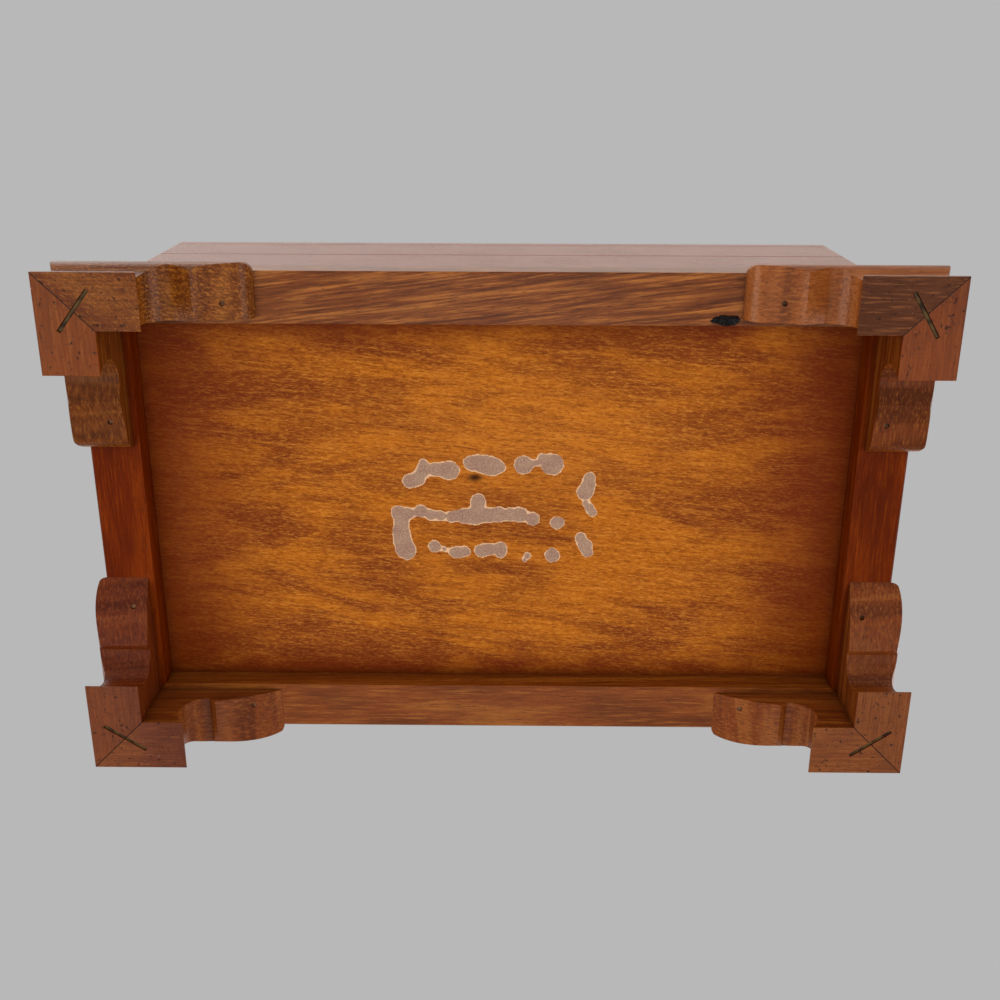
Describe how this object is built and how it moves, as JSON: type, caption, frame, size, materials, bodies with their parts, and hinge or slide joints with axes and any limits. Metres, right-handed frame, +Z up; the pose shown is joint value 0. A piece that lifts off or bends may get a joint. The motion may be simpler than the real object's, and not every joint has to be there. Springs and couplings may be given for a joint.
{
  "type": "keepsake box",
  "caption": "Wooden keepsake box with a hinged, felt-lined lid, a moulded base and scrolled bracket feet.",
  "frame": {"origin": "on the ground, at the middle of the rectangle round the four foot pads", "axes": "+X to the box's right seen from its front, +Y towards the hinges at the back, +Z up"},
  "size_m": [0.3504, 0.2152, 0.163],
  "materials": {
    "foot_wood": "mahogany, brown stain, satin lacquer",
    "base_wood": "mahogany, red-brown stain, satin lacquer",
    "panel_plywood": "plywood, orange-brown stain, thin satin lacquer",
    "box_wood": "mahogany, red-brown stain, polished lacquer",
    "lid_wood": "mahogany, red-brown stain, polished lacquer",
    "key_steel": "tarnished",
    "nail_steel": "dark, oxidised",
    "hinge_brass": "satin, lightly aged",
    "felt_lining": "black felt"
  },
  "bodies": {
    "box": {"front_left_foot_front": "foot_wood", "front_left_foot_side": "foot_wood", "front_right_foot_front": "foot_wood", "front_right_foot_side": "foot_wood", "back_left_foot_back": "foot_wood", "back_left_foot_side": "foot_wood", "back_right_foot_back": "foot_wood", "back_right_foot_side": "foot_wood", "mitre_keys": "key_steel", "foot_nails": "nail_steel", "base_rail_front": "base_wood", "base_rail_back": "base_wood", "base_rail_left": "base_wood", "base_rail_right": "base_wood", "bottom_panel": "panel_plywood", "wall_front": "box_wood", "wall_back": "box_wood", "wall_left": "box_wood", "wall_right": "box_wood", "left_hinge_lower_leaf": "hinge_brass", "left_hinge_pin": "hinge_brass", "right_hinge_lower_leaf": "hinge_brass", "right_hinge_pin": "hinge_brass", "box_hinge_screws": "hinge_brass", "floor_lining": "felt_lining", "lining_front": "felt_lining", "lining_back": "felt_lining", "lining_left": "felt_lining", "lining_right": "felt_lining"},
    "lid": {"lid_front": "box_wood", "lid_back": "box_wood", "lid_left": "box_wood", "lid_right": "box_wood", "lid_top": "lid_wood", "lid_lining": "felt_lining", "lid_hinge_screws": "hinge_brass", "left_hinge_upper_leaf": "hinge_brass", "right_hinge_upper_leaf": "hinge_brass"}
  },
  "joints": [
    {"name": "lid_hinge", "type": "hinge", "parent": "box", "child": "lid", "pos_m": [0, 0.0987, 0.122], "axis": [-1, 0, 0], "range_deg": [0, 95]}
  ]
}
